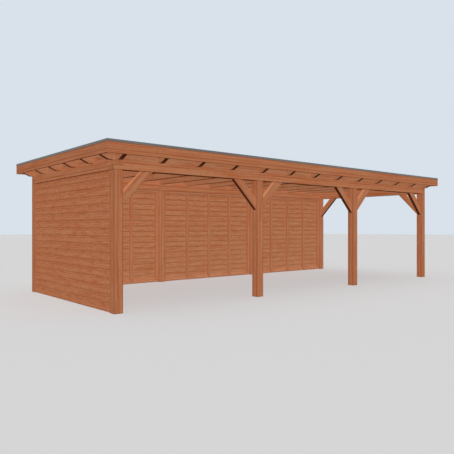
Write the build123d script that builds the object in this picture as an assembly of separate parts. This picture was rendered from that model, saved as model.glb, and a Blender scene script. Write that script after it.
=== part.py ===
from build123d import *
import os

# Flat-roofed timber canopy on eight posts, open at the front and on the right,
# boarded at the back and on the left. +X runs along the length, -Y is the open
# front, +Z is up, and the origin is on the floor under the middle of the roof.

# Post grid
post_width = 150.0
post_height = 2220.0
post_chamfer = 3.0
bay_length = 3000.0
bay_count = 3
frame_depth = 3450.0

# Ring beam, half-lapped at its corners
beam_height = 150.0
lap_share = 0.5

# Knee braces
brace_leg = 560.0
brace_depth = 150.0
brace_thickness = 75.0

# Rafters and the short look-outs at the ends
rafter_width = 75.0
rafter_depth = 150.0
rafters_per_bay = 4
tail_flat = 76.0
tail_nose = 86.0
lookout_count = 6
block_thickness = 45.0

# Roof edge
eave_reach = 237.0
fascia_thickness = 28.0
fascia_height = 202.0
fascia_lift = 60.0
trim_thickness = 3.0
trim_width = 42.0
trim_lip = 35.0

# Roof surface
deck_thickness = 18.0
felt_thickness = 4.0
seam_gap = 2.0

# Boarded walls
board_recess = 22.0
board_thickness = 20.0
floor_gap = 3.0
head_gap = 10.0
stud_width = 70.0
stud_depth = 45.0
studs_between = 3
rail_height = 45.0
sill_height = 45.0

# Levels and lines that follow from the sizes above
half_post = post_width / 2
half_length = bay_length * bay_count / 2
half_depth = frame_depth / 2
outer_x = half_length + half_post
outer_y = half_depth + half_post
inner_x = half_length - half_post
inner_y = half_depth - half_post
beam_bottom = post_height
beam_top = beam_bottom + beam_height
lap_level = beam_bottom + beam_height * lap_share
rafter_top = beam_top + rafter_depth
deck_top = rafter_top + deck_thickness
felt_top = deck_top + felt_thickness
fascia_bottom = beam_top + fascia_lift
fascia_top = fascia_bottom + fascia_height
roof_top = fascia_top + trim_thickness
fascia_x = outer_x + eave_reach
fascia_y = outer_y + eave_reach
eave_x = fascia_x - fascia_thickness
eave_y = fascia_y - fascia_thickness
trim_x = fascia_x + trim_thickness
trim_y = fascia_y + trim_thickness
post_lines = [bay_length * index - half_length for index in range(bay_count + 1)]


def bar(low_x, high_x, low_y, high_y, low_z, high_z):
    """Return a square-edged timber between two corners."""
    middle = Pos((low_x + high_x) / 2, (low_y + high_y) / 2, (low_z + high_z) / 2)
    return middle * Box(high_x - low_x, high_y - low_y, high_z - low_z)


def prism(outline, thickness, direction):
    """Return a flat outline carried along one direction."""
    return extrude(make_face(Polyline(*outline, close=True)), amount=thickness, dir=direction)


def save(solids, node):
    """Write one or more solids as a named node."""
    export_step(Compound(children=solids), "parts/" + node + ".step")


def post(middle_x, middle_y):
    """Return a post with eased long edges."""
    blank = bar(middle_x - half_post, middle_x + half_post, middle_y - half_post, middle_y + half_post,
                0, post_height)
    return chamfer(blank.edges().filter_by(Axis.Z), post_chamfer)


def brace_outline(leg):
    """Return a knee brace's corners as reach from the post and drop from the beam."""
    inner_leg = leg - brace_depth * 2 ** (1 / 2)
    return [(0, leg), (leg, 0), (inner_leg, 0), (0, inner_leg)]


def brace_along_x(face_x, way, line_y):
    """Return a brace in the plane of a long side, leaning away from one post face."""
    near_y = line_y - brace_thickness / 2
    outline = [(face_x + way * reach, near_y, beam_bottom - drop) for reach, drop in brace_outline(brace_leg)]
    return prism(outline, brace_thickness, (0, 1, 0))


def brace_along_y(face_y, way, line_x):
    """Return a brace in the plane of an end, leaning away from one post face."""
    near_x = line_x - brace_thickness / 2
    outline = [(near_x, face_y + way * reach, beam_bottom - drop) for reach, drop in brace_outline(brace_leg)]
    return prism(outline, brace_thickness, (1, 0, 0))


def mitred(side, far_x, far_y, width, low_z, high_z):
    """Return one side of a mitred frame, from its outer lines inward."""
    near_x = far_x - width
    near_y = far_y - width
    corners = {
        "front": [(-far_x, -far_y), (far_x, -far_y), (near_x, -near_y), (-near_x, -near_y)],
        "back": [(-far_x, far_y), (far_x, far_y), (near_x, near_y), (-near_x, near_y)],
        "left": [(-far_x, -far_y), (-far_x, far_y), (-near_x, near_y), (-near_x, -near_y)],
        "right": [(far_x, -far_y), (far_x, far_y), (near_x, near_y), (near_x, -near_y)],
    }
    outline = [(x, y, low_z) for x, y in corners[side]]
    return prism(outline, high_z - low_z, (0, 0, 1))


def stud_starts(low, high):
    """Return where each stud begins: one against each post and the rest spread evenly."""
    step = (high - low - stud_width) / (studs_between + 1)
    return [low + step * index for index in range(studs_between + 2)]


os.makedirs("parts", exist_ok=True)

# Posts
for number, line_x in enumerate(post_lines, start=1):
    save([post(line_x, -half_depth)], "front_post_" + str(number))
    save([post(line_x, half_depth)], "back_post_" + str(number))

# Ring beam: the long beams keep their lower half at the corners, the end beams their upper half
long_corner_cuts = [
    bar(-outer_x, -inner_x, -outer_y, outer_y, lap_level, beam_top),
    bar(inner_x, outer_x, -outer_y, outer_y, lap_level, beam_top),
]
end_corner_cuts = [
    bar(-outer_x, outer_x, -outer_y, -inner_y, beam_bottom, lap_level),
    bar(-outer_x, outer_x, inner_y, outer_y, beam_bottom, lap_level),
]
front_beam = bar(-outer_x, outer_x, -outer_y, -inner_y, beam_bottom, beam_top)
back_beam = bar(-outer_x, outer_x, inner_y, outer_y, beam_bottom, beam_top)
left_beam = bar(-outer_x, -inner_x, -outer_y, outer_y, beam_bottom, beam_top)
right_beam = bar(inner_x, outer_x, -outer_y, outer_y, beam_bottom, beam_top)
save([front_beam - long_corner_cuts], "front_beam")
save([back_beam - long_corner_cuts], "back_beam")
save([left_beam - end_corner_cuts], "left_beam")
save([right_beam - end_corner_cuts], "right_beam")

# Knee braces along the open front, on both sides of the middle posts
for number in range(bay_count):
    left_face = post_lines[number] + half_post
    right_face = post_lines[number + 1] - half_post
    save([brace_along_x(left_face, 1, -half_depth)], "front_brace_right_of_post_" + str(number + 1))
    save([brace_along_x(right_face, -1, -half_depth)], "front_brace_left_of_post_" + str(number + 2))

# Knee braces across the open right end
save([brace_along_y(-inner_y, 1, half_length)], "right_brace_front")
save([brace_along_y(inner_y, -1, half_length)], "right_brace_back")

# Rafters with tails that slope up to the fascia at both eaves
tail_y = outer_y + tail_flat
tail_x = outer_x + tail_flat
nose_level = rafter_top - tail_nose
rafter_step = bay_length / rafters_per_bay
rafter_lines = [rafter_step * index - half_length for index in range(rafters_per_bay * bay_count + 1)]
rafters = []
for line_x in rafter_lines:
    near_x = line_x - rafter_width / 2
    profile = [
        (near_x, -tail_y, beam_top),
        (near_x, tail_y, beam_top),
        (near_x, eave_y, nose_level),
        (near_x, eave_y, rafter_top),
        (near_x, -eave_y, rafter_top),
        (near_x, -eave_y, nose_level),
    ]
    rafters.append(prism(profile, rafter_width, (1, 0, 0)))
save(rafters, "rafters")

# Look-outs that carry the roof edge past the end rafters
root_x = half_length + rafter_width / 2
lookout_step = frame_depth / (lookout_count - 1)
for way, node in [(-1, "left_lookouts"), (1, "right_lookouts")]:
    lookouts = []
    for index in range(lookout_count):
        near_y = lookout_step * index - half_depth - rafter_width / 2
        profile = [
            (way * root_x, near_y, beam_top),
            (way * tail_x, near_y, beam_top),
            (way * eave_x, near_y, nose_level),
            (way * eave_x, near_y, rafter_top),
            (way * root_x, near_y, rafter_top),
        ]
        lookouts.append(prism(profile, rafter_width, (0, 1, 0)))
    save(lookouts, node)

# Blocks between the rafters, flush with the outer faces of the long beams
front_blocks = []
back_blocks = []
for line_x in rafter_lines[:-1]:
    low_x = line_x + rafter_width / 2
    high_x = line_x + rafter_step - rafter_width / 2
    front_blocks.append(bar(low_x, high_x, -outer_y, block_thickness - outer_y, beam_top, rafter_top))
    back_blocks.append(bar(low_x, high_x, outer_y - block_thickness, outer_y, beam_top, rafter_top))
save(front_blocks, "front_eave_blocks")
save(back_blocks, "back_eave_blocks")

# Roof deck, the felt on it and the felt turned up behind the fascias
felt_x = eave_x - felt_thickness
felt_y = eave_y - felt_thickness
side_felt_y = felt_y - seam_gap
save([bar(-eave_x, eave_x, -eave_y, eave_y, rafter_top, deck_top)], "roof_deck")
save([bar(-eave_x, eave_x, -eave_y, eave_y, deck_top, felt_top)], "roof_felt")
upturns = [
    bar(-eave_x, eave_x, -eave_y, -felt_y, felt_top, fascia_top),
    bar(-eave_x, eave_x, felt_y, eave_y, felt_top, fascia_top),
    bar(-eave_x, -felt_x, -side_felt_y, side_felt_y, felt_top, fascia_top),
    bar(felt_x, eave_x, -side_felt_y, side_felt_y, felt_top, fascia_top),
]
save(upturns, "felt_upturns")

# Fascias and the metal edge trim over them, mitred at the corners
for side in ["front", "back", "left", "right"]:
    save([mitred(side, fascia_x, fascia_y, fascia_thickness, fascia_bottom, fascia_top)], side + "_fascia")
    lip = mitred(side, trim_x, trim_y, trim_thickness, roof_top - trim_lip, roof_top)
    flange = mitred(side, trim_x, trim_y, trim_width, fascia_top, roof_top)
    save([lip + flange], side + "_edge_trim")

# Boarded back wall, filling each bay between the posts
board_back = outer_y - board_recess
board_front = board_back - board_thickness
stud_front = board_front - stud_depth
board_bottom = floor_gap
board_top = beam_bottom - head_gap
stud_bottom = board_bottom + sill_height
stud_top = beam_bottom - rail_height
back_boards = []
back_studs = []
back_top_rails = []
back_bottom_rails = []
for line_x in post_lines[:-1]:
    low_x = line_x + half_post
    high_x = line_x + bay_length - half_post
    back_boards.append(bar(low_x, high_x, board_front, board_back, board_bottom, board_top))
    back_top_rails.append(bar(low_x, high_x, stud_front, board_front, stud_top, beam_bottom))
    back_bottom_rails.append(bar(low_x, high_x, stud_front, board_front, board_bottom, stud_bottom))
    for start in stud_starts(low_x, high_x):
        back_studs.append(bar(start, start + stud_width, stud_front, board_front, stud_bottom, stud_top))
save(back_boards, "back_wall_boards")
save(back_studs, "back_wall_studs")
save(back_top_rails, "back_wall_top_rails")
save(back_bottom_rails, "back_wall_bottom_rails")

# Boarded left wall between the two corner posts
board_left = board_recess - outer_x
board_right = board_left + board_thickness
stud_right = board_right + stud_depth
left_studs = []
for start in stud_starts(-inner_y, inner_y):
    left_studs.append(bar(board_right, stud_right, start, start + stud_width, stud_bottom, stud_top))
save([bar(board_left, board_right, -inner_y, inner_y, board_bottom, board_top)], "left_wall_boards")
save(left_studs, "left_wall_studs")
save([bar(board_right, stud_right, -inner_y, inner_y, stud_top, beam_bottom)], "left_wall_top_rail")
save([bar(board_right, stud_right, -inner_y, inner_y, board_bottom, stud_bottom)], "left_wall_bottom_rail")
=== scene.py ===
"""Looks of a flat-roofed timber canopy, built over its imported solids.

The frame is stained softwood: square posts, a ring beam half-lapped at the
corners, knee braces, rafters with shaped tails, shiplap walls at the back and
on the left, and a felted roof behind a fascia with a dark metal edge.
Every timber carries its own grain, stored on its points, so that one finish
serves pieces that lie in any direction.
"""

import logging
import math
import random
from dataclasses import dataclass, field, replace
from enum import Enum

import bmesh
import bpy
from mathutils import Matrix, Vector


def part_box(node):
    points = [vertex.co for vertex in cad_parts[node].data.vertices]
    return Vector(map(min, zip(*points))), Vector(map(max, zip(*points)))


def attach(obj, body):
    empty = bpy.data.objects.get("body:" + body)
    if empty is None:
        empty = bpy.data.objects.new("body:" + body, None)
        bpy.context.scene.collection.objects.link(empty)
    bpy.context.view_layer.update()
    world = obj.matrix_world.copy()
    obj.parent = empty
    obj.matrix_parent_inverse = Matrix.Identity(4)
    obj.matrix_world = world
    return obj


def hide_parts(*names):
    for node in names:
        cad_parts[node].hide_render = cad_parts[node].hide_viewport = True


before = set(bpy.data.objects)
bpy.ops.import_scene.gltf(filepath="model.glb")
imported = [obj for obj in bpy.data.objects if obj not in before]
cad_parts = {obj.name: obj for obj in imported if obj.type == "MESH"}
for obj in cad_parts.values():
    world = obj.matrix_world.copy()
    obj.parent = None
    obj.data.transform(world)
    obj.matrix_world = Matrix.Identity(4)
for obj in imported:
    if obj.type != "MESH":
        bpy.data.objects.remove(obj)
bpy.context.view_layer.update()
log = logging.getLogger("canopy")

Colour = tuple[float, float, float]
Span = tuple[float, float]


class Run(Enum):
    """Directions that a timber's fibres can run in."""

    LENGTH = (1.0, 0.0, 0.0)
    DEPTH = (0.0, 1.0, 0.0)
    UPRIGHT = (0.0, 0.0, 1.0)

    @property
    def vector(self) -> Vector:
        """The direction as a vector."""
        return Vector(self.value)


class Side(Enum):
    """The four sides of the roof."""

    FRONT = "front"
    BACK = "back"
    LEFT = "left"
    RIGHT = "right"


# Shader graph


class Signal:
    """A shader socket that takes part in Python sums."""

    def __init__(self, graph: "Graph", socket: bpy.types.NodeSocket) -> None:
        """Wrap a socket of a graph.

        Args:
            graph: The graph that owns the socket.
            socket: The output to wrap.
        """
        self.graph = graph
        self.socket = socket

    def _math(self, operation: str, *values: "Signal | float") -> "Signal":
        """Add a Math node.

        Args:
            operation: The node's operation.
            values: Its inputs, in order.

        Returns:
            The node's result.
        """
        return self.graph.add("ShaderNodeMath", {"operation": operation}, dict(enumerate(values)))

    def __add__(self, other: "Signal | float") -> "Signal":
        """Sum."""
        return self._math("ADD", self, other)

    def __radd__(self, other: float) -> "Signal":
        """Sum with a number on the left."""
        return self._math("ADD", other, self)

    def __sub__(self, other: "Signal | float") -> "Signal":
        """Difference."""
        return self._math("SUBTRACT", self, other)

    def __rsub__(self, other: float) -> "Signal":
        """Difference from a number."""
        return self._math("SUBTRACT", other, self)

    def __mul__(self, other: "Signal | float") -> "Signal":
        """Product."""
        return self._math("MULTIPLY", self, other)

    def __truediv__(self, other: "Signal | float") -> "Signal":
        """Quotient."""
        return self._math("DIVIDE", self, other)

    def __abs__(self) -> "Signal":
        """Size without sign."""
        return self._math("ABSOLUTE", self)

    def root(self) -> "Signal":
        """Square root."""
        return self._math("SQRT", self)

    def fraction(self) -> "Signal":
        """Part after the decimal point."""
        return self._math("FRACT", self)

    def step(self, low: float, high: float) -> "Signal":
        """Ease from 0 at low to 1 at high.

        Args:
            low: The value that gives 0.
            high: The value that gives 1.

        Returns:
            The eased value, clamped.
        """
        settings = {"interpolation_type": "SMOOTHSTEP"}
        inputs = {"Value": self, "From Min": low, "From Max": high}
        return self.graph.add("ShaderNodeMapRange", settings, inputs)


@dataclass
class Graph:
    """A material's node tree, with one way of adding nodes."""

    tree: bpy.types.NodeTree

    def add(
        self,
        kind: str,
        settings: dict[str, str | bool],
        inputs: "dict[int | str, Signal | float | tuple]",
        output: int | str = 0,
    ) -> Signal:
        """Add a node.

        Args:
            kind: The node's type.
            settings: Its properties, set before the sockets.
            inputs: Values or signals for its sockets, by name or number.
            output: The output to return, by name or number.

        Returns:
            The chosen output.
        """
        node = self.tree.nodes.new(kind)
        for name, value in settings.items():
            setattr(node, name, value)
        for name, value in inputs.items():
            if isinstance(value, Signal):
                self.tree.links.new(value.socket, node.inputs[name])
            else:
                node.inputs[name].default_value = value
        return Signal(self, node.outputs[output])

    def attribute(self, name: str, output: str) -> Signal:
        """Read a mesh attribute by name."""
        return self.add("ShaderNodeAttribute", {"attribute_name": name}, {}, output)

    def split(self, vector: Signal) -> tuple[Signal, Signal, Signal]:
        """Split a vector into its three numbers.

        Args:
            vector: The vector.

        Returns:
            Its x, y and z.
        """
        first = self.add("ShaderNodeSeparateXYZ", {}, {0: vector})
        outputs = first.socket.node.outputs
        return first, Signal(self, outputs[1]), Signal(self, outputs[2])

    def join(self, x: "Signal | float", y: "Signal | float", z: "Signal | float") -> Signal:
        """Make a vector of three numbers."""
        return self.add("ShaderNodeCombineXYZ", {}, {0: x, 1: y, 2: z})

    def noise(
        self,
        vector: Signal,
        seed: "Signal | float",
        detail: float,
        rough: float = 0.5,
    ) -> Signal:
        """Add four-dimensional noise, so that each timber has its own.

        Args:
            vector: Where to read it, already scaled.
            seed: The fourth coordinate.
            detail: Octaves.
            rough: How strong the fine octaves are.

        Returns:
            The noise, from 0 to 1.
        """
        inputs = {"Vector": vector, "W": seed, "Scale": 1.0, "Detail": detail, "Roughness": rough}
        return self.add("ShaderNodeTexNoise", {"noise_dimensions": "4D"}, inputs)

    def bump(self, height: Signal, strength: float, depth: float) -> Signal:
        """Turn a height into a bent normal.

        Args:
            height: The height, from 0 to about 1.
            strength: How much of it shows.
            depth: What a height of 1 measures, in metres.

        Returns:
            The normal.
        """
        inputs = {"Strength": strength, "Distance": depth, "Height": height}
        return self.add("ShaderNodeBump", {}, inputs)

    def mix(self, amount: Signal, first: "Signal | Colour", second: "Signal | Colour") -> Signal:
        """Mix two colours.

        Args:
            amount: 0 for the first, 1 for the second.
            first: A colour.
            second: A colour.

        Returns:
            The mixed colour.
        """
        settings = {"data_type": "RGBA", "clamp_factor": True}
        inputs = {0: amount, 6: self._colour(first), 7: self._colour(second)}
        return self.add("ShaderNodeMix", settings, inputs, 2)

    def scale(self, vector: Signal, amount: "Signal | float") -> Signal:
        """Multiply a vector or a colour by a number."""
        inputs = {0: vector, "Scale": amount}
        return self.add("ShaderNodeVectorMath", {"operation": "SCALE"}, inputs)

    @staticmethod
    def _colour(value: "Signal | Colour") -> "Signal | tuple[float, float, float, float]":
        """Give a plain colour its alpha."""
        return value if isinstance(value, Signal) else (*value, 1.0)


def new_material(name: str, colour: Colour) -> tuple[bpy.types.Material, Graph, dict]:
    """Start a material.

    Args:
        name: The material's name.
        colour: The colour that it shows in a plain viewport.

    Returns:
        The material, its graph, and the sockets of its surface shader.
    """
    material = bpy.data.materials.new(name)
    material.use_nodes = True
    material.diffuse_color = (*colour, 1.0)
    shader = material.node_tree.nodes["Principled BSDF"]
    return material, Graph(material.node_tree), shader.inputs


def link(signal: Signal, socket: bpy.types.NodeSocket) -> None:
    """Feed a signal to a shader's socket."""
    signal.graph.tree.links.new(signal.socket, socket)


# Finishes


@dataclass(frozen=True)
class GrainNoise:
    """Noise that is drawn out along a timber's fibres."""

    along: float
    across: float
    shift: float
    rough: float = 0.5
    detail: float = 2.0

    def read(self, graph: Graph, grain: tuple[Signal, Signal, Signal], seed: Signal) -> Signal:
        """Read the noise at a point of a timber.

        Args:
            graph: The finish's graph.
            grain: The point's place along, across and through the timber.
            seed: The timber's own number.

        Returns:
            The noise, from 0 to 1.
        """
        along, across, through = grain
        place = graph.join(along * self.along, across * self.across, through * self.across)
        return graph.noise(place, seed + self.shift, self.detail, self.rough)


SWAY = GrainNoise(along=0.9, across=7.0, shift=0.0)
CLOUD = GrainNoise(along=1.1, across=16.0, shift=3.0)
HAIR = GrainNoise(along=10.0, across=420.0, shift=13.0, rough=0.6)
SPOTS = GrainNoise(along=16.0, across=40.0, shift=21.0, rough=0.7)
FLAME_SHIFT = 7.0
FLAME_ROUGH = 0.60


@dataclass(frozen=True)
class StainedWood:
    """Softwood under a satin stain. It reads each timber's own grain."""

    name: str
    pale: Colour = (0.492, 0.206, 0.103)
    warm: Colour = (0.478, 0.180, 0.084)
    red: Colour = (0.418, 0.116, 0.045)
    dark: Colour = (0.270, 0.078, 0.030)
    ends: Colour = (0.260, 0.090, 0.042)
    # Painted light: a tint that lightens or darkens the stain of each kind for the light where it
    # stands.
    painted_light_tint: Colour = (1.0, 1.0, 1.0)
    cloud_span: Span = (0.40, 0.66)
    streak_run: float = 1.2
    streak_gap: float = 0.036
    streak_span: Span = (0.44, 0.68)
    streak: float = 0.80
    fleck_span: Span = (0.48, 0.70)
    fleck: float = 0.55
    line: float = 0.0
    line_gap: float = 0.14
    line_sway: float = 0.010
    line_span: Span = (0.002, 0.011)
    ring_gap: float = 0.0055
    ring_sway: float = 0.022
    ring_lean: float = 0.004
    late_rise: Span = (0.35, 0.86)
    late_fall: Span = (0.90, 1.0)
    late: float = 0.22
    hair_span: Span = (0.52, 0.75)
    hair: float = 0.18
    pooled_stain_and_shade: float = 0.30
    tone_low: float = 0.99
    tone_range: float = 0.02
    end_span: Span = (0.72, 0.92)
    end: float = 0.25
    rough: float = 0.74
    hair_rough: float = 0.14
    late_rough: float = 0.05
    end_rough: float = 0.15
    hair_height: float = 0.5
    late_height: float = 0.6
    bump: float = 0.35
    bump_depth: float = 0.0006
    gloss: float = 0.05

    def material(self) -> bpy.types.Material:
        """Make the finish.

        Returns:
            The material.
        """
        material, graph, shader = new_material(self.name, self.warm)
        seed = graph.attribute("seed", "Fac")
        grain = graph.split(graph.attribute("grain", "Vector"))
        sway = SWAY.read(graph, grain, seed)
        hair = HAIR.read(graph, grain, seed)
        late = self._late_wood(grain, sway)
        end = self._end_grain(graph)

        colour = self._stain(graph, grain, seed)
        if self.line:
            colour = graph.mix(self._lines(graph, sway) * self.line, colour, self.dark)
        colour = graph.mix(late * self.late, colour, self.dark)
        colour = graph.mix(hair.step(*self.hair_span) * self.hair, colour, self.dark)
        # Darker along edges and joints: partly pooled stain, partly painted shade where the joints
        # would be shaded.
        colour = graph.mix(graph.attribute("edge", "Fac") * self.pooled_stain_and_shade, colour, self.dark)
        tone = graph.add("ShaderNodeTexWhiteNoise", {"noise_dimensions": "1D"}, {"W": seed})
        colour = graph.scale(colour, self.tone_low + tone * self.tone_range)
        colour = graph.mix(end * self.end, colour, self.ends)
        # Painted light: the kind's tint evens the stain out for the light where the timber stands.
        painted_light_tinted = {0: colour, 1: self.painted_light_tint}
        colour = graph.add("ShaderNodeVectorMath", {"operation": "MULTIPLY"}, painted_light_tinted)

        link(colour, shader["Base Color"])
        rough = self.rough + hair * self.hair_rough - late * self.late_rough + end * self.end_rough
        link(rough, shader["Roughness"])
        height = hair * self.hair_height + late * self.late_height
        link(graph.bump(height, self.bump, self.bump_depth), shader["Normal"])
        shader["Specular IOR Level"].default_value = self.gloss
        return material

    def _stain(self, graph: Graph, grain: tuple[Signal, Signal, Signal], seed: Signal) -> Signal:
        """Mix the stain's own colours, in clouds, streaks and flecks.

        Args:
            graph: The finish's graph.
            grain: The point's place along, across and through the timber.
            seed: The timber's own number.

        Returns:
            The colour.
        """
        flames = GrainNoise(self.streak_run, 1.0 / self.streak_gap, FLAME_SHIFT, FLAME_ROUGH)
        cloud = CLOUD.read(graph, grain, seed).step(*self.cloud_span)
        flame = flames.read(graph, grain, seed).step(*self.streak_span)
        spots = SPOTS.read(graph, grain, seed).step(*self.fleck_span)
        colour = graph.mix(cloud, self.pale, self.warm)
        colour = graph.mix(flame * self.streak, colour, self.red)
        return graph.mix(spots * self.fleck, colour, self.red)

    def _late_wood(self, grain: tuple[Signal, Signal, Signal], sway: Signal) -> Signal:
        """Mark the dark part of each year's ring.

        Args:
            grain: The point's place along, across and through the timber.
            sway: Slow noise that bends the rings.

        Returns:
            1 in late wood, 0 in early wood.
        """
        along, across, through = grain
        radius = (across * across + through * through).root()
        radius = radius + (sway - 0.5) * self.ring_sway + along * self.ring_lean
        ring = (radius / self.ring_gap).fraction()
        return ring.step(*self.late_rise) - ring.step(*self.late_fall)

    def _lines(self, graph: Graph, sway: Signal) -> Signal:
        """Mark the dark grain lines that run the whole length of a timber.

        Args:
            graph: The finish's graph.
            sway: Slow noise that bends the lines a little.

        Returns:
            1 on a line, 0 away from it.
        """
        first, second, _ = graph.split(graph.attribute("lines", "Vector"))
        marks = []
        for place in (first, second):
            bent = place + (sway - 0.5) * self.line_sway
            share = (bent / self.line_gap + 0.5).fraction() - 0.5
            marks.append(1.0 - (abs(share) * self.line_gap).step(*self.line_span))
        return marks[0] + marks[1]

    def _end_grain(self, graph: Graph) -> Signal:
        """Mark the faces that are cut across the fibres.

        Args:
            graph: The finish's graph.

        Returns:
            1 on end grain, 0 on the long faces.
        """
        fibre = graph.attribute("fibre", "Vector")
        facing = graph.add("ShaderNodeNewGeometry", {}, {}, "Normal")
        inputs = {0: facing, 1: fibre}
        dot = graph.add("ShaderNodeVectorMath", {"operation": "DOT_PRODUCT"}, inputs, "Value")
        return abs(dot).step(*self.end_span)


POST_STAIN = StainedWood(
    "stained_open_post_wood_painted_shade", painted_light_tint=(0.955, 0.95, 0.93),
    streak_run=2.0, streak_gap=0.028, line=0.62, line_gap=0.083, pooled_stain_and_shade=0.45,
)
BOARD_STAIN = StainedWood(
    "stained_back_board_wood", painted_light_tint=(1.005, 1.11, 1.12), ring_gap=0.0065,
    streak_run=4.0, streak_gap=0.020, streak=0.85, fleck=0.65, pooled_stain_and_shade=0.52,
)


class Wood(Enum):
    """The stain of each kind of timber, with light and shade painted in by its tint for the light
    where it stands.
    """

    # Two copies of the post stain that differ in painted light and shade: open posts darkened by
    # painted shade, sheltered posts lifted by painted light.
    OPEN_POST_PAINTED_SHADE = POST_STAIN
    SHELTERED_POST_PAINTED_LIGHT = replace(
        POST_STAIN, name="stained_sheltered_post_wood_painted_light", painted_light_tint=(1.0, 1.07, 1.10), pooled_stain_and_shade=0.35,
    )
    BEAM = StainedWood("stained_beam_wood", painted_light_tint=(0.985, 1.01, 0.98), line=0.70)
    BRACE = StainedWood("stained_brace_wood", painted_light_tint=(0.95, 1.0, 1.0), pooled_stain_and_shade=0.15)
    RAFTER = StainedWood("stained_rafter_wood", painted_light_tint=(0.885, 1.02, 1.06), pooled_stain_and_shade=0.10)
    FASCIA = StainedWood(
        "stained_fascia_wood", painted_light_tint=(0.92, 0.90, 0.86),
        streak_run=0.8, line=0.70, line_gap=0.105, pooled_stain_and_shade=0.10,
    )
    STUD = StainedWood("stained_stud_wood", painted_light_tint=(0.96, 1.055, 1.075), streak=0.65, pooled_stain_and_shade=0.35)
    DECK = StainedWood("stained_deck_wood", painted_light_tint=(0.87, 1.02, 1.08))
    BACK_BOARD = BOARD_STAIN
    LEFT_BOARD = replace(
        BOARD_STAIN, name="stained_left_board_wood", painted_light_tint=(0.98, 0.965, 0.93),
        streak_run=4.5, streak_gap=0.018, fleck=0.75, line=0.36,
    )


@dataclass(frozen=True)
class CoatedMetal:
    """Matt powder coating on the folded edge trim."""

    name: str = "dark_grey_coating"
    colour: Colour = (0.116, 0.117, 0.111)
    paler: float = 1.22
    wide_span: Span = (0.35, 0.70)
    wide_seed: float = 5.0
    wide_detail: float = 3.0
    peel_scale: float = 900.0
    peel_seed: float = 1.0
    peel_detail: float = 1.0
    rough: float = 0.42
    peel_rough: float = 0.10
    wide_rough: float = 0.06
    bump: float = 0.15
    bump_depth: float = 0.0003

    def material(self) -> bpy.types.Material:
        """Make the finish.

        Returns:
            The material.
        """
        material, graph, shader = new_material(self.name, self.colour)
        place = graph.add("ShaderNodeTexCoord", {}, {}, "Object")
        peel = graph.noise(graph.scale(place, self.peel_scale), self.peel_seed, self.peel_detail)
        wide = graph.noise(place, self.wide_seed, self.wide_detail)
        light = tuple(part * self.paler for part in self.colour)
        link(graph.mix(wide.step(*self.wide_span), self.colour, light), shader["Base Color"])
        link(self.rough + peel * self.peel_rough + wide * self.wide_rough, shader["Roughness"])
        link(graph.bump(peel, self.bump, self.bump_depth), shader["Normal"])
        return material


@dataclass(frozen=True)
class RoofFelt:
    """Bituminous roofing sheet with fine mineral grit."""

    name: str = "gritted_roof_felt"
    bed: Colour = (0.028, 0.030, 0.033)
    grit: Colour = (0.105, 0.110, 0.118)
    worn: Colour = (0.135, 0.135, 0.132)
    grit_scale: float = 650.0
    grit_seed: float = 2.0
    grit_detail: float = 1.0
    grit_span: Span = (0.42, 0.62)
    wear: float = 0.20
    wear_seed: float = 9.0
    wear_detail: float = 4.0
    wear_rough: float = 0.6
    wear_span: Span = (0.40, 0.72)
    bleed: float = 0.70
    rough: float = 0.82
    grit_rough: float = 0.12
    bump: float = 0.5
    bump_depth: float = 0.001

    def material(self) -> bpy.types.Material:
        """Make the finish.

        Returns:
            The material.
        """
        material, graph, shader = new_material(self.name, self.bed)
        place = graph.add("ShaderNodeTexCoord", {}, {}, "Object")
        grit = graph.noise(graph.scale(place, self.grit_scale), self.grit_seed, self.grit_detail)
        wear = graph.noise(place, self.wear_seed, self.wear_detail, self.wear_rough)
        colour = graph.mix(grit.step(*self.grit_span), self.bed, self.grit)
        colour = graph.mix(wear.step(*self.wear_span) * self.wear, colour, self.worn)
        colour = graph.mix(graph.attribute("edge", "Fac") * self.bleed, colour, self.bed)
        link(colour, shader["Base Color"])
        link(self.rough + grit * self.grit_rough, shader["Roughness"])
        link(graph.bump(grit, self.bump, self.bump_depth), shader["Normal"])
        return material


# Timber shapes

UP = Vector((0, 0, 1))
STEEP = 0.9
HEART_REACH = 0.012
SAWN_REACH = 0.07
PITH_SPREAD = (0.6, 1.4)
GRAIN_START = 40
SEED_RANGE = 90
BROAD = 1.5


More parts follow.
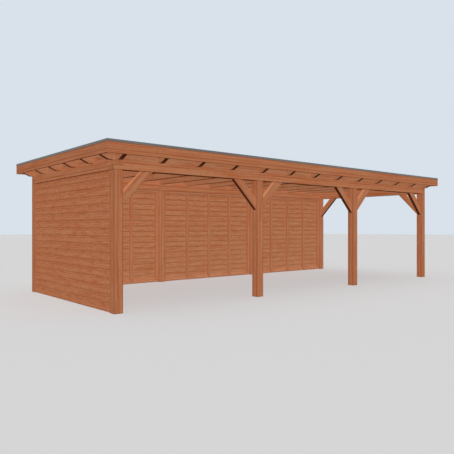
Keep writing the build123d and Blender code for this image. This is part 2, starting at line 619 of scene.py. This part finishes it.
@dataclass
class Timbers:
    """Timbers of one named piece, gathered in one mesh with their grain."""

    name: str
    finish: bpy.types.Material
    shape: bmesh.types.BMesh = field(default_factory=bmesh.new)
    chance: random.Random = field(default_factory=random.Random)

    def __post_init__(self) -> None:
        """Seed the piece from its own name and add its point layers."""
        self.chance.seed(self.name)
        layers = self.shape.verts.layers
        self.grain = layers.float_vector.new("grain")
        self.fibre = layers.float_vector.new("fibre")
        self.seed = layers.float.new("seed")
        self.edge = layers.float.new("edge")
        self.lines = layers.float_vector.new("lines")

    def bar(
        self,
        low: Vector,
        high: Vector,
        run: Run,
        ease: float = 0.002,
        rim: float = 0.006,
        heart: bool = False,
        rounds: int = 1,
        lines: Span = (0.0, 0.0),
    ) -> None:
        """Add a square-edged timber between two corners.

        Args:
            low: Its lowest corner.
            high: Its highest corner.
            run: The way of its fibres.
            ease: How far its edges are eased.
            rim: How far the edge mark fades in from its edges (pooled stain with painted joint
                shade on wood).
            heart: True where the timber is cut round the tree's heart.
            rounds: Steps across an eased edge.
            lines: How far from its middle a dark line runs on each pair of faces.
        """
        before = set(self.shape.verts)
        made = bmesh.ops.create_cube(self.shape, size=1.0)
        bmesh.ops.scale(self.shape, vec=high - low, verts=made["verts"])
        bmesh.ops.translate(self.shape, vec=(low + high) / 2, verts=made["verts"])
        edges = list({edge for vert in made["verts"] for edge in vert.link_edges})
        self._ease(edges, ease, rounds)
        self._mark_dark_edges(before, rim)
        self._dress(before, run.vector, heart, lines)

    def prism(
        self,
        outline: list[Vector],
        sweep: Vector,
        fibre: Vector,
        ease: float = 0.002,
        rim: float = 0.006,
        heart: bool = False,
        lines: Span = (0.0, 0.0),
    ) -> None:
        """Add a timber with a shaped outline.

        Args:
            outline: The corners of one flat face, in order.
            sweep: How far and which way the face is carried.
            fibre: The way of its fibres.
            ease: How far its edges are eased.
            rim: How far the edge mark fades in from its edges (pooled stain with painted joint
                shade on wood).
            heart: True where the timber is cut round the tree's heart.
            lines: How far from its middle a dark line runs on each pair of faces.
        """
        before = set(self.shape.verts)
        corners = [self.shape.verts.new(point) for point in outline]
        face = self.shape.faces.new(corners)
        made = bmesh.ops.extrude_face_region(self.shape, geom=[face])["geom"]
        moved = [item for item in made if isinstance(item, bmesh.types.BMVert)]
        bmesh.ops.translate(self.shape, vec=sweep, verts=moved)
        verts = corners + moved
        faces = list({item for vert in verts for item in vert.link_faces})
        bmesh.ops.recalc_face_normals(self.shape, faces=faces)
        edges = list({edge for vert in verts for edge in vert.link_edges})
        self._ease(edges, ease)
        self._mark_dark_edges(before, rim)
        self._dress(before, fibre.normalized(), heart, lines)

    def _ease(self, edges: list[bmesh.types.BMEdge], ease: float, rounds: int = 1) -> None:
        """Ease the edges of the timber that was just added.

        Args:
            edges: Its edges.
            ease: How far they are eased.
            rounds: Steps across an eased edge.
        """
        if ease > 0:
            bmesh.ops.bevel(
                self.shape, geom=edges, offset=ease, offset_type="OFFSET", affect="EDGES",
                segments=rounds, profile=0.5, material=-1, clamp_overlap=True,
            )

    def _mark_dark_edges(self, before: set, rim: float) -> None:
        """Mark the edges of the timber that was just added, which its finish darkens: pooled stain
        with painted joint shade on wood, bled bitumen on felt.

        Args:
            before: The points that were there already.
            rim: How far the mark fades in over each broad face.
        """
        if rim <= 0:
            return
        verts = [vert for vert in self.shape.verts if vert not in before]
        faces = list({face for vert in verts for face in vert.link_faces})
        broad = [face for face in faces if face.calc_area() > BROAD * rim * face.calc_perimeter()]
        for vert in verts:
            vert[self.edge] = 1.0
        bmesh.ops.inset_individual(self.shape, faces=broad, thickness=rim, use_even_offset=True)
        for face in broad:
            for vert in face.verts:
                vert[self.edge] = 0.0

    def _dress(self, before: set, fibre: Vector, heart: bool, lines: Span) -> None:
        """Store the grain of the timber that was just added.

        Args:
            before: The points that were there already.
            fibre: The way of its fibres.
            heart: True where the tree's heart runs through the timber.
            lines: How far from its middle a dark line runs on each pair of faces.
        """
        verts = [vert for vert in self.shape.verts if vert not in before]
        side = Run.LENGTH.vector if abs(fibre.z) >= STEEP else fibre.cross(UP).normalized()
        other = fibre.cross(side)
        middle = sum((vert.co for vert in verts), Vector()) / len(verts)
        reach = HEART_REACH if heart else SAWN_REACH
        turn = self.chance.uniform(0, math.tau)
        reach *= self.chance.uniform(*PITH_SPREAD)
        pith = Vector((math.cos(turn), math.sin(turn))) * reach
        start = self.chance.uniform(0, GRAIN_START)
        seed = self.chance.uniform(0, SEED_RANGE)
        for vert in verts:
            local = vert.co - middle
            across, through = local.dot(side), local.dot(other)
            vert[self.grain] = (local.dot(fibre) + start, across - pith.x, through - pith.y)
            vert[self.fibre] = fibre
            vert[self.lines] = (across - lines[0], through - lines[1], 0.0)
            vert[self.seed] = seed

    def finish_piece(self, node: str) -> None:
        """Make the mesh an object that stands for its solids.

        Args:
            node: The node of the solids that it stands for.
        """
        mesh = bpy.data.meshes.new(self.name)
        self.shape.to_mesh(mesh)
        self.shape.free()
        mesh.materials.append(self.finish)
        piece = bpy.data.objects.new(self.name, mesh)
        bpy.context.scene.collection.objects.link(piece)
        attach(piece, "root")
        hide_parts(node)
        log.info("%s: %d faces", self.name, len(mesh.polygons))


def dress_node(node: str, finish: bpy.types.Material) -> None:
    """Give a node of the frame its finish, as it stands.

    Args:
        node: The node.
        finish: Its only material.
    """
    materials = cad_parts[node].data.materials
    materials.clear()
    materials.append(finish)
    log.info("%s: finish only", node)


@dataclass(frozen=True)
class Setting:
    """Lines that the whole frame is set out on, in metres."""

    bay: float = 3.0
    bays: int = 3
    depth: float = 3.45
    post: float = 0.15

    @property
    def post_lines(self) -> list[float]:
        """Middle lines of the posts along the length."""
        return [self.bay * (index - self.bays / 2) for index in range(self.bays + 1)]

    @property
    def outer(self) -> Vector:
        """Outer faces of the corner posts."""
        return Vector((self.bay * self.bays + self.post, self.depth + self.post)) / 2

    @property
    def inner(self) -> Vector:
        """Inner faces of the corner posts."""
        return Vector((self.bay * self.bays - self.post, self.depth - self.post)) / 2


# Sub-assemblies


@dataclass
class PostFrame:
    """Posts and the ring beam on them."""

    setting: Setting
    open_posts_painted_shade: bpy.types.Material
    sheltered_posts_painted_light: bpy.types.Material
    beams: bpy.types.Material
    ease: float = 0.003
    rim: float = 0.016
    rounds: int = 2
    post_lines: Span = (-0.015, -0.045)
    long_lines: Span = (0.020, -0.035)
    end_lines: Span = (0.020, 0.020)

    def build(self) -> None:
        """Build the posts and the beams."""
        for number in range(1, self.setting.bays + 2):
            self._post(f"front_post_{number}", self.open_posts_painted_shade)
            # Back posts under the roof take the copy lifted by painted light, the others the copy
            # darkened by painted shade.
            wood = self.sheltered_posts_painted_light if number > 1 else self.open_posts_painted_shade
            self._post(f"back_post_{number}", wood)
        for side in Side:
            self._beam(side)

    def _post(self, node: str, wood: bpy.types.Material) -> None:
        """Build one post, cut round the heart.

        Args:
            node: The solid that it stands for.
            wood: Its finish.
        """
        low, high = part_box(node)
        timbers = Timbers(node + "_timber", wood)
        timbers.bar(
            low, high, Run.UPRIGHT, self.ease, self.rim,
            heart=True, rounds=self.rounds, lines=self.post_lines,
        )
        timbers.finish_piece(node)

    def _beam(self, side: Side) -> None:
        """Build one beam with its half-laps.

        Args:
            side: The side that it lies on.
        """
        node = side.value + "_beam"
        low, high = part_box(node)
        lap = (low.z + high.z) / 2
        wide = self.setting.post
        long_side = side in (Side.FRONT, Side.BACK)
        start, end = (low.x, high.x) if long_side else (low.y, high.y)
        whole, cut = (low.z, high.z) if long_side else (high.z, low.z)
        steps = [
            (start, whole), (end, whole), (end, lap), (end - wide, lap), (end - wide, cut),
            (start + wide, cut), (start + wide, lap), (start, lap),
        ]
        if long_side:
            outline = [Vector((place, low.y, level)) for place, level in steps]
            sweep = Vector((0, high.y - low.y, 0))
        else:
            outline = [Vector((low.x, place, level)) for place, level in steps]
            sweep = Vector((high.x - low.x, 0, 0))
        run = Run.LENGTH if long_side else Run.DEPTH
        timbers = Timbers(node + "_timber", self.beams)
        lines = self.long_lines if long_side else self.end_lines
        timbers.prism(outline, sweep, run.vector, self.ease, heart=True, lines=lines)
        timbers.finish_piece(node)


@dataclass
class KneeBraces:
    """Slanting braces between the posts and the beams."""

    setting: Setting
    wood: bpy.types.Material
    width: float = 0.150
    ease: float = 0.003

    def build(self) -> None:
        """Build every brace."""
        for number in range(1, self.setting.bays + 1):
            self._brace(f"front_brace_right_of_post_{number}", Run.LENGTH, 1)
            self._brace(f"front_brace_left_of_post_{number + 1}", Run.LENGTH, -1)
        self._brace("right_brace_front", Run.DEPTH, 1)
        self._brace("right_brace_back", Run.DEPTH, -1)

    def _brace(self, node: str, plane: Run, way: int) -> None:
        """Build one brace.

        Args:
            node: The solid that it stands for.
            plane: The way of the wall that it lies in.
            way: 1 where it leans to the positive side of its post.
        """
        low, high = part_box(node)
        leg = high.z - low.z
        short = leg - self.width * math.sqrt(2)
        along = plane.vector
        across = (Run.DEPTH if plane is Run.LENGTH else Run.LENGTH).vector
        foot = low.copy() if way > 0 else low + along * (high - low).dot(along)
        places = [(0, 0), (leg, leg), (short, leg), (0, leg - short)]
        outline = [foot + along * way * reach + UP * rise for reach, rise in places]
        timbers = Timbers(node + "_timber", self.wood)
        sweep = across * (high - low).dot(across)
        timbers.prism(outline, sweep, along * way + UP, self.ease)
        timbers.finish_piece(node)


@dataclass
class RoofFrame:
    """Rafters, look-outs and the blocks between the rafters."""

    setting: Setting
    wood: bpy.types.Material
    width: float = 0.075
    per_bay: int = 4
    flat: float = 0.076
    nose: float = 0.086
    lookouts: int = 6
    ease: float = 0.002

    def build(self) -> None:
        """Build the rafters, the look-outs and the blocks."""
        self._rafters()
        self._lookouts(Side.LEFT)
        self._lookouts(Side.RIGHT)
        self._blocks(Side.FRONT)
        self._blocks(Side.BACK)

    def _lines(self) -> list[float]:
        """Middle lines of the rafters."""
        count = self.per_bay * self.setting.bays
        step = self.setting.bay / self.per_bay
        return [step * (index - count / 2) for index in range(count + 1)]

    def _rafters(self) -> None:
        """Build the rafters, with tails that slope up to the fascias."""
        low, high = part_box("rafters")
        turn = self.setting.outer.y + self.flat
        nose = high.z - self.nose
        profile = [
            (-turn, low.z), (turn, low.z), (high.y, nose),
            (high.y, high.z), (low.y, high.z), (low.y, nose),
        ]
        timbers = Timbers("rafter_timbers", self.wood)
        for line in self._lines():
            outline = [Vector((line - self.width / 2, place, level)) for place, level in profile]
            timbers.prism(outline, Vector((self.width, 0, 0)), Run.DEPTH.vector, self.ease)
        timbers.finish_piece("rafters")

    def _lookouts(self, side: Side) -> None:
        """Build the look-outs of one end.

        Args:
            side: The end that they carry.
        """
        node = side.value + "_lookouts"
        low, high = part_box(node)
        way = -1 if side is Side.LEFT else 1
        root, tip = (high.x, low.x) if way < 0 else (low.x, high.x)
        turn = way * (self.setting.outer.x + self.flat)
        nose = high.z - self.nose
        profile = [(root, low.z), (turn, low.z), (tip, nose), (tip, high.z), (root, high.z)]
        step = self.setting.depth / (self.lookouts - 1)
        timbers = Timbers(side.value + "_lookout_timbers", self.wood)
        for index in range(self.lookouts):
            near = index * step - self.setting.depth / 2 - self.width / 2
            outline = [Vector((place, near, level)) for place, level in profile]
            timbers.prism(outline, Vector((0, self.width, 0)), Run.LENGTH.vector, self.ease)
        timbers.finish_piece(node)

    def _blocks(self, side: Side) -> None:
        """Build the blocks over one long beam.

        Args:
            side: The side that they close.
        """
        node = side.value + "_eave_blocks"
        low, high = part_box(node)
        timbers = Timbers(side.value + "_eave_block_timbers", self.wood)
        lines = self._lines()
        for left, right in zip(lines, lines[1:]):
            near = Vector((left + self.width / 2, low.y, low.z))
            far = Vector((right - self.width / 2, high.y, high.z))
            timbers.bar(near, far, Run.LENGTH, self.ease)
        timbers.finish_piece(node)


@dataclass
class RoofSkin:
    """Deck boards and the felt over them."""

    wood: bpy.types.Material
    felt: bpy.types.Material
    rows: int = 30
    groove: float = 0.003
    rafter_step: float = 0.75
    first_joints: tuple[int, ...] = (-4, -3, -2)
    board_steps: int = 5
    sheet: float = 1.0
    lap: float = 0.08
    lap_rise: float = 0.0012
    lap_ease: float = 0.00054
    lap_rim: float = 0.014

    def build(self) -> None:
        """Build the deck, then dress the felt."""
        self._deck()
        self._felt()
        dress_node("felt_upturns", self.felt)

    def _deck(self) -> None:
        """Build the deck boards, with their butt joints over rafters."""
        low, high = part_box("roof_deck")
        timbers = Timbers("roof_deck_boards", self.wood)
        wide = (high.y - low.y) / self.rows
        for row in range(self.rows):
            near = low.y + wide * row
            joint = self.rafter_step * timbers.chance.choice(self.first_joints)
            cuts = [low.x, joint, joint + self.rafter_step * self.board_steps, high.x]
            for start, end in zip(cuts, cuts[1:]):
                corner = Vector((start, near, low.z))
                opposite = Vector((end, near + wide, high.z))
                timbers.bar(corner, opposite, Run.LENGTH, self.groove)
        timbers.finish_piece("roof_deck")

    def _felt(self) -> None:
        """Build the felt as lapped sheets."""
        low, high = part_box("roof_felt")
        sheets = Timbers("roof_felt_sheets", self.felt)
        bed = Vector((high.x, high.y, high.z - self.lap_rise))
        sheets.bar(low, bed, Run.LENGTH, 0)
        place = low.x + self.sheet
        while place < high.x - self.lap:
            near = Vector((place - self.lap, low.y, bed.z))
            far = Vector((place, high.y, high.z))
            sheets.bar(near, far, Run.DEPTH, self.lap_ease, self.lap_rim)
            place += self.sheet - self.lap
        sheets.finish_piece("roof_felt")


@dataclass
class RoofEdge:
    """Fascias, mitred at the corners, and the metal edge trim."""

    wood: bpy.types.Material
    metal: bpy.types.Material
    ease: float = 0.002
    lines: Span = (0.050, 0.043)

    def build(self) -> None:
        """Build the fascias, then coat the trim."""
        for side in Side:
            self._fascia(side)
            dress_node(side.value + "_edge_trim", self.metal)

    def _fascia(self, side: Side) -> None:
        """Build one fascia.

        Args:
            side: The side that it lies on.
        """
        node = side.value + "_fascia"
        low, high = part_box(node)
        if side in (Side.FRONT, Side.BACK):
            run, thick = Run.LENGTH, high.y - low.y
            outer, inner = (low.y, high.y) if side is Side.FRONT else (high.y, low.y)
            corners = [
                (low.x, outer), (high.x, outer), (high.x - thick, inner), (low.x + thick, inner),
            ]
        else:
            run, thick = Run.DEPTH, high.x - low.x
            outer, inner = (low.x, high.x) if side is Side.LEFT else (high.x, low.x)
            corners = [
                (outer, low.y), (outer, high.y), (inner, high.y - thick), (inner, low.y + thick),
            ]
        outline = [Vector((x, y, low.z)) for x, y in corners]
        timbers = Timbers(node + "_board", self.wood)
        sweep = Vector((0, 0, high.z - low.z))
        timbers.prism(outline, sweep, run.vector, self.ease, lines=self.lines)
        timbers.finish_piece(node)


@dataclass
class BoardedWall:
    """A wall of shiplap boards on studs."""

    side: Side
    setting: Setting
    boards: bpy.types.Material
    wood: bpy.types.Material
    pitch: float = 0.130
    first: float = 0.143
    overlap: float = 0.045
    thin: float = 0.011
    slack: float = 0.0006
    gap: float = 0.002
    stud: float = 0.070
    studs: int = 3
    ease: float = 0.002
    rim: float = 0.018
    stud_rim: float = 0.0155
    rail_rim: float = 0.006
    lines: Span = (0.050, -0.022)

    def build(self) -> None:
        """Build the boards, the studs and the rails."""
        self._boards()
        self._studs()
        name = self.side.value + "_wall_"
        plural = "s" if self.side is Side.BACK else ""
        self._rails(name + "top_rail" + plural)
        self._rails(name + "bottom_rail" + plural)

    def _spans(self) -> list[Span]:
        """Clear spans between the posts, along the wall."""
        if self.side is Side.LEFT:
            return [(-self.setting.inner.y, self.setting.inner.y)]
        lines = self.setting.post_lines
        half = self.setting.post / 2
        return [(left + half, right - half) for left, right in zip(lines, lines[1:])]

    def _at(self, along: float, out: float, level: float, inside: float) -> Vector:
        """Place a point of the wall.

        Args:
            along: Distance along the wall.
            out: Distance outwards from the inner face of the boards.
            level: Height.
            inside: Where the inner face of the boards lies.

        Returns:
            The point.
        """
        if self.side is Side.LEFT:
            return Vector((inside - out, along, level))
        return Vector((along, inside + out, level))

    def _boards(self) -> None:
        """Build the shiplap boards, each tucked behind the one above."""
        node = self.side.value + "_wall_boards"
        low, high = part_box(node)
        inside = high.x if self.side is Side.LEFT else low.y
        thick = (high.x - low.x) if self.side is Side.LEFT else (high.y - low.y)
        run = Run.DEPTH if self.side is Side.LEFT else Run.LENGTH
        taper = (thick - self.thin) / (self.pitch + self.overlap)
        rebate = thick - taper * self.pitch + self.slack
        courses = 1 + math.ceil((high.z - low.z - self.first) / self.pitch)
        timbers = Timbers(self.side.value + "_wall_shiplap", self.boards)
        for start, end in self._spans():
            for course in range(courses):
                foot = low.z + (self.first + self.pitch * (course - 1) if course else 0.0)
                above = low.z + self.first + self.pitch * course
                top = min(above + self.overlap - self.gap, high.z)
                lip = min(foot + self.overlap, top - self.gap)
                head = thick - taper * (top - foot)
                profile = [
                    (0, lip), (0, top), (head, top), (thick, foot), (rebate, foot), (rebate, lip),
                ]
                near = start + self.gap / 2
                outline = [self._at(near, out, level, inside) for out, level in profile]
                sweep = run.vector * (end - start - self.gap)
                timbers.prism(outline, sweep, run.vector, self.ease, self.rim, lines=self.lines)
        timbers.finish_piece(node)

    def _studs(self) -> None:
        """Build the studs, one against each post and the rest spread evenly."""
        node = self.side.value + "_wall_studs"
        low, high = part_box(node)
        timbers = Timbers(self.side.value + "_wall_stud_timbers", self.wood)
        for start, end in self._spans():
            step = (end - start - self.stud) / (self.studs + 1)
            for index in range(self.studs + 2):
                near = start + step * index
                self._piece(timbers, low, high, near, near + self.stud, Run.UPRIGHT, self.stud_rim)
        timbers.finish_piece(node)

    def _rails(self, node: str) -> None:
        """Build the level rails of one node.

        Args:
            node: The solids that they stand for.
        """
        low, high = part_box(node)
        run = Run.DEPTH if self.side is Side.LEFT else Run.LENGTH
        timbers = Timbers(node + "_timber", self.wood)
        for start, end in self._spans():
            self._piece(timbers, low, high, start, end, run, self.rail_rim)
        timbers.finish_piece(node)

    def _piece(
        self,
        timbers: Timbers,
        low: Vector,
        high: Vector,
        start: float,
        end: float,
        run: Run,
        rim: float,
    ) -> None:
        """Add one straight timber of the wall.

        Args:
            timbers: The piece that it joins.
            low: Lowest corner of the node.
            high: Highest corner of the node.
            start: Where it starts along the wall.
            end: Where it ends along the wall.
            run: The way of its fibres.
            rim: How far the pooled stain and painted joint shade darken in from its edges.
        """
        near, far = low.copy(), high.copy()
        if self.side is Side.LEFT:
            near.y, far.y = start, end
        else:
            near.x, far.x = start, end
        timbers.bar(near, far, run, self.ease, rim)


# Studio


@dataclass(frozen=True)
class Lamp:
    """A broad, even lamp far from the object."""

    name: str
    strength: float
    towards: float
    height: float
    spread: float = 24.0
    shadow: bool = False

    def place(self) -> None:
        """Hang the lamp. The slanting ones fill under the roof, so they throw no shadow."""
        lamp = bpy.data.lights.new(self.name, "SUN")
        lamp.energy = self.strength
        lamp.angle = math.radians(self.spread)
        lamp.use_shadow = self.shadow
        item = bpy.data.objects.new(self.name, lamp)
        tip = math.radians(90.0 - self.height)
        item.rotation_euler = (tip, 0.0, math.radians(self.towards))
        bpy.context.scene.collection.objects.link(item)


@dataclass
class Studio:
    """Floor, light and camera."""

    floor_radius: float = 88.0
    floor_sides: int = 128
    floor_shown: Colour = (0.402, 0.402, 0.404)
    floor_bounce: Colour = (0.03, 0.03, 0.03)
    floor_rough: float = 0.9
    sky: Colour = (0.695, 0.760, 0.831)
    around: Colour = (1.0, 1.0, 1.0)
    ambient: float = 0.25
    lamps: tuple[Lamp, ...] = (
        Lamp("key_lamp", 4.5, -41.0, 44.0),
        Lamp("fill_lamp", 2.85, 140.0, 15.0),
        Lamp("top_lamp", 0.6, 0.0, 90.0, spread=70.0, shadow=True),
    )
    eye: tuple[float, float, float] = (-8.251, -8.868, 1.3346)
    turn: float = 39.939
    focal: float = 40.434
    sensor: float = 36.0
    sight: float = 500.0

    def build(self) -> None:
        """Set up the floor, the light and the camera."""
        self._floor()
        self._world()
        for lamp in self.lamps:
            lamp.place()
        self._camera()
        bpy.context.scene.view_settings.view_transform = "Standard"

    def _floor(self) -> None:
        """Lay a plain round floor that throws little light up under the roof."""
        shape = bmesh.new()
        sides, radius = self.floor_sides, self.floor_radius
        bmesh.ops.create_circle(shape, cap_ends=True, segments=sides, radius=radius)
        mesh = bpy.data.meshes.new("floor")
        shape.to_mesh(mesh)
        shape.free()
        material, graph, shader = new_material("pale_floor", self.floor_shown)
        colour = graph.mix(self._seen(graph), self.floor_bounce, self.floor_shown)
        link(colour, shader["Base Color"])
        shader["Roughness"].default_value = self.floor_rough
        shader["Specular IOR Level"].default_value = 0.0
        mesh.materials.append(material)
        floor = bpy.data.objects.new("floor", mesh)
        bpy.context.scene.collection.objects.link(floor)

    @staticmethod
    def _seen(graph: Graph) -> Signal:
        """Tell rays that show the backdrop from rays that only carry light.

        Args:
            graph: The graph that asks.

        Returns:
            1 for camera, glossy and transmission rays, 0 for the rest.
        """
        camera = graph.add("ShaderNodeLightPath", {}, {}, "Is Camera Ray")
        outputs = camera.socket.node.outputs
        glossy = Signal(graph, outputs["Is Glossy Ray"])
        passing = Signal(graph, outputs["Is Transmission Ray"])
        return (camera + (glossy + passing)).step(0.0, 1.0)

    def _world(self) -> None:
        """Light evenly from all round, with a pale backdrop to the camera."""
        world = bpy.data.worlds.new("studio")
        world.use_nodes = True
        bpy.context.scene.world = world
        graph = Graph(world.node_tree)
        background = world.node_tree.nodes["Background"].inputs
        seen = self._seen(graph)
        link(graph.mix(seen, self.around, self.sky), background["Color"])
        link(self.ambient + seen * (1.0 - self.ambient), background["Strength"])

    def _camera(self) -> None:
        """Set the camera level, where the photograph was taken from."""
        lens = bpy.data.cameras.new("camera")
        lens.lens = self.focal
        lens.sensor_width = self.sensor
        lens.clip_end = self.sight
        camera = bpy.data.objects.new("camera", lens)
        camera.location = self.eye
        camera.rotation_euler = (math.radians(90.0), 0.0, -math.radians(self.turn))
        bpy.context.scene.collection.objects.link(camera)
        bpy.context.scene.camera = camera


def main() -> None:
    """Build the canopy piece by piece, then light it."""
    logging.basicConfig(level=logging.INFO, format="%(name)s %(message)s")
    setting = Setting()
    woods = {wood: wood.value.material() for wood in Wood}
    felt = RoofFelt().material()
    PostFrame(setting, woods[Wood.OPEN_POST_PAINTED_SHADE], woods[Wood.SHELTERED_POST_PAINTED_LIGHT], woods[Wood.BEAM]).build()
    KneeBraces(setting, woods[Wood.BRACE]).build()
    RoofFrame(setting, woods[Wood.RAFTER]).build()
    RoofSkin(woods[Wood.DECK], felt).build()
    RoofEdge(woods[Wood.FASCIA], CoatedMetal().material()).build()
    BoardedWall(Side.BACK, setting, woods[Wood.BACK_BOARD], woods[Wood.STUD]).build()
    # The left wall's wider rim spreads the painted joint shade further up each board.
    left_wall = BoardedWall(Side.LEFT, setting, woods[Wood.LEFT_BOARD], woods[Wood.STUD], rim=0.024)
    left_wall.build()
    Studio().build()


if __name__ == "__main__":
    main()
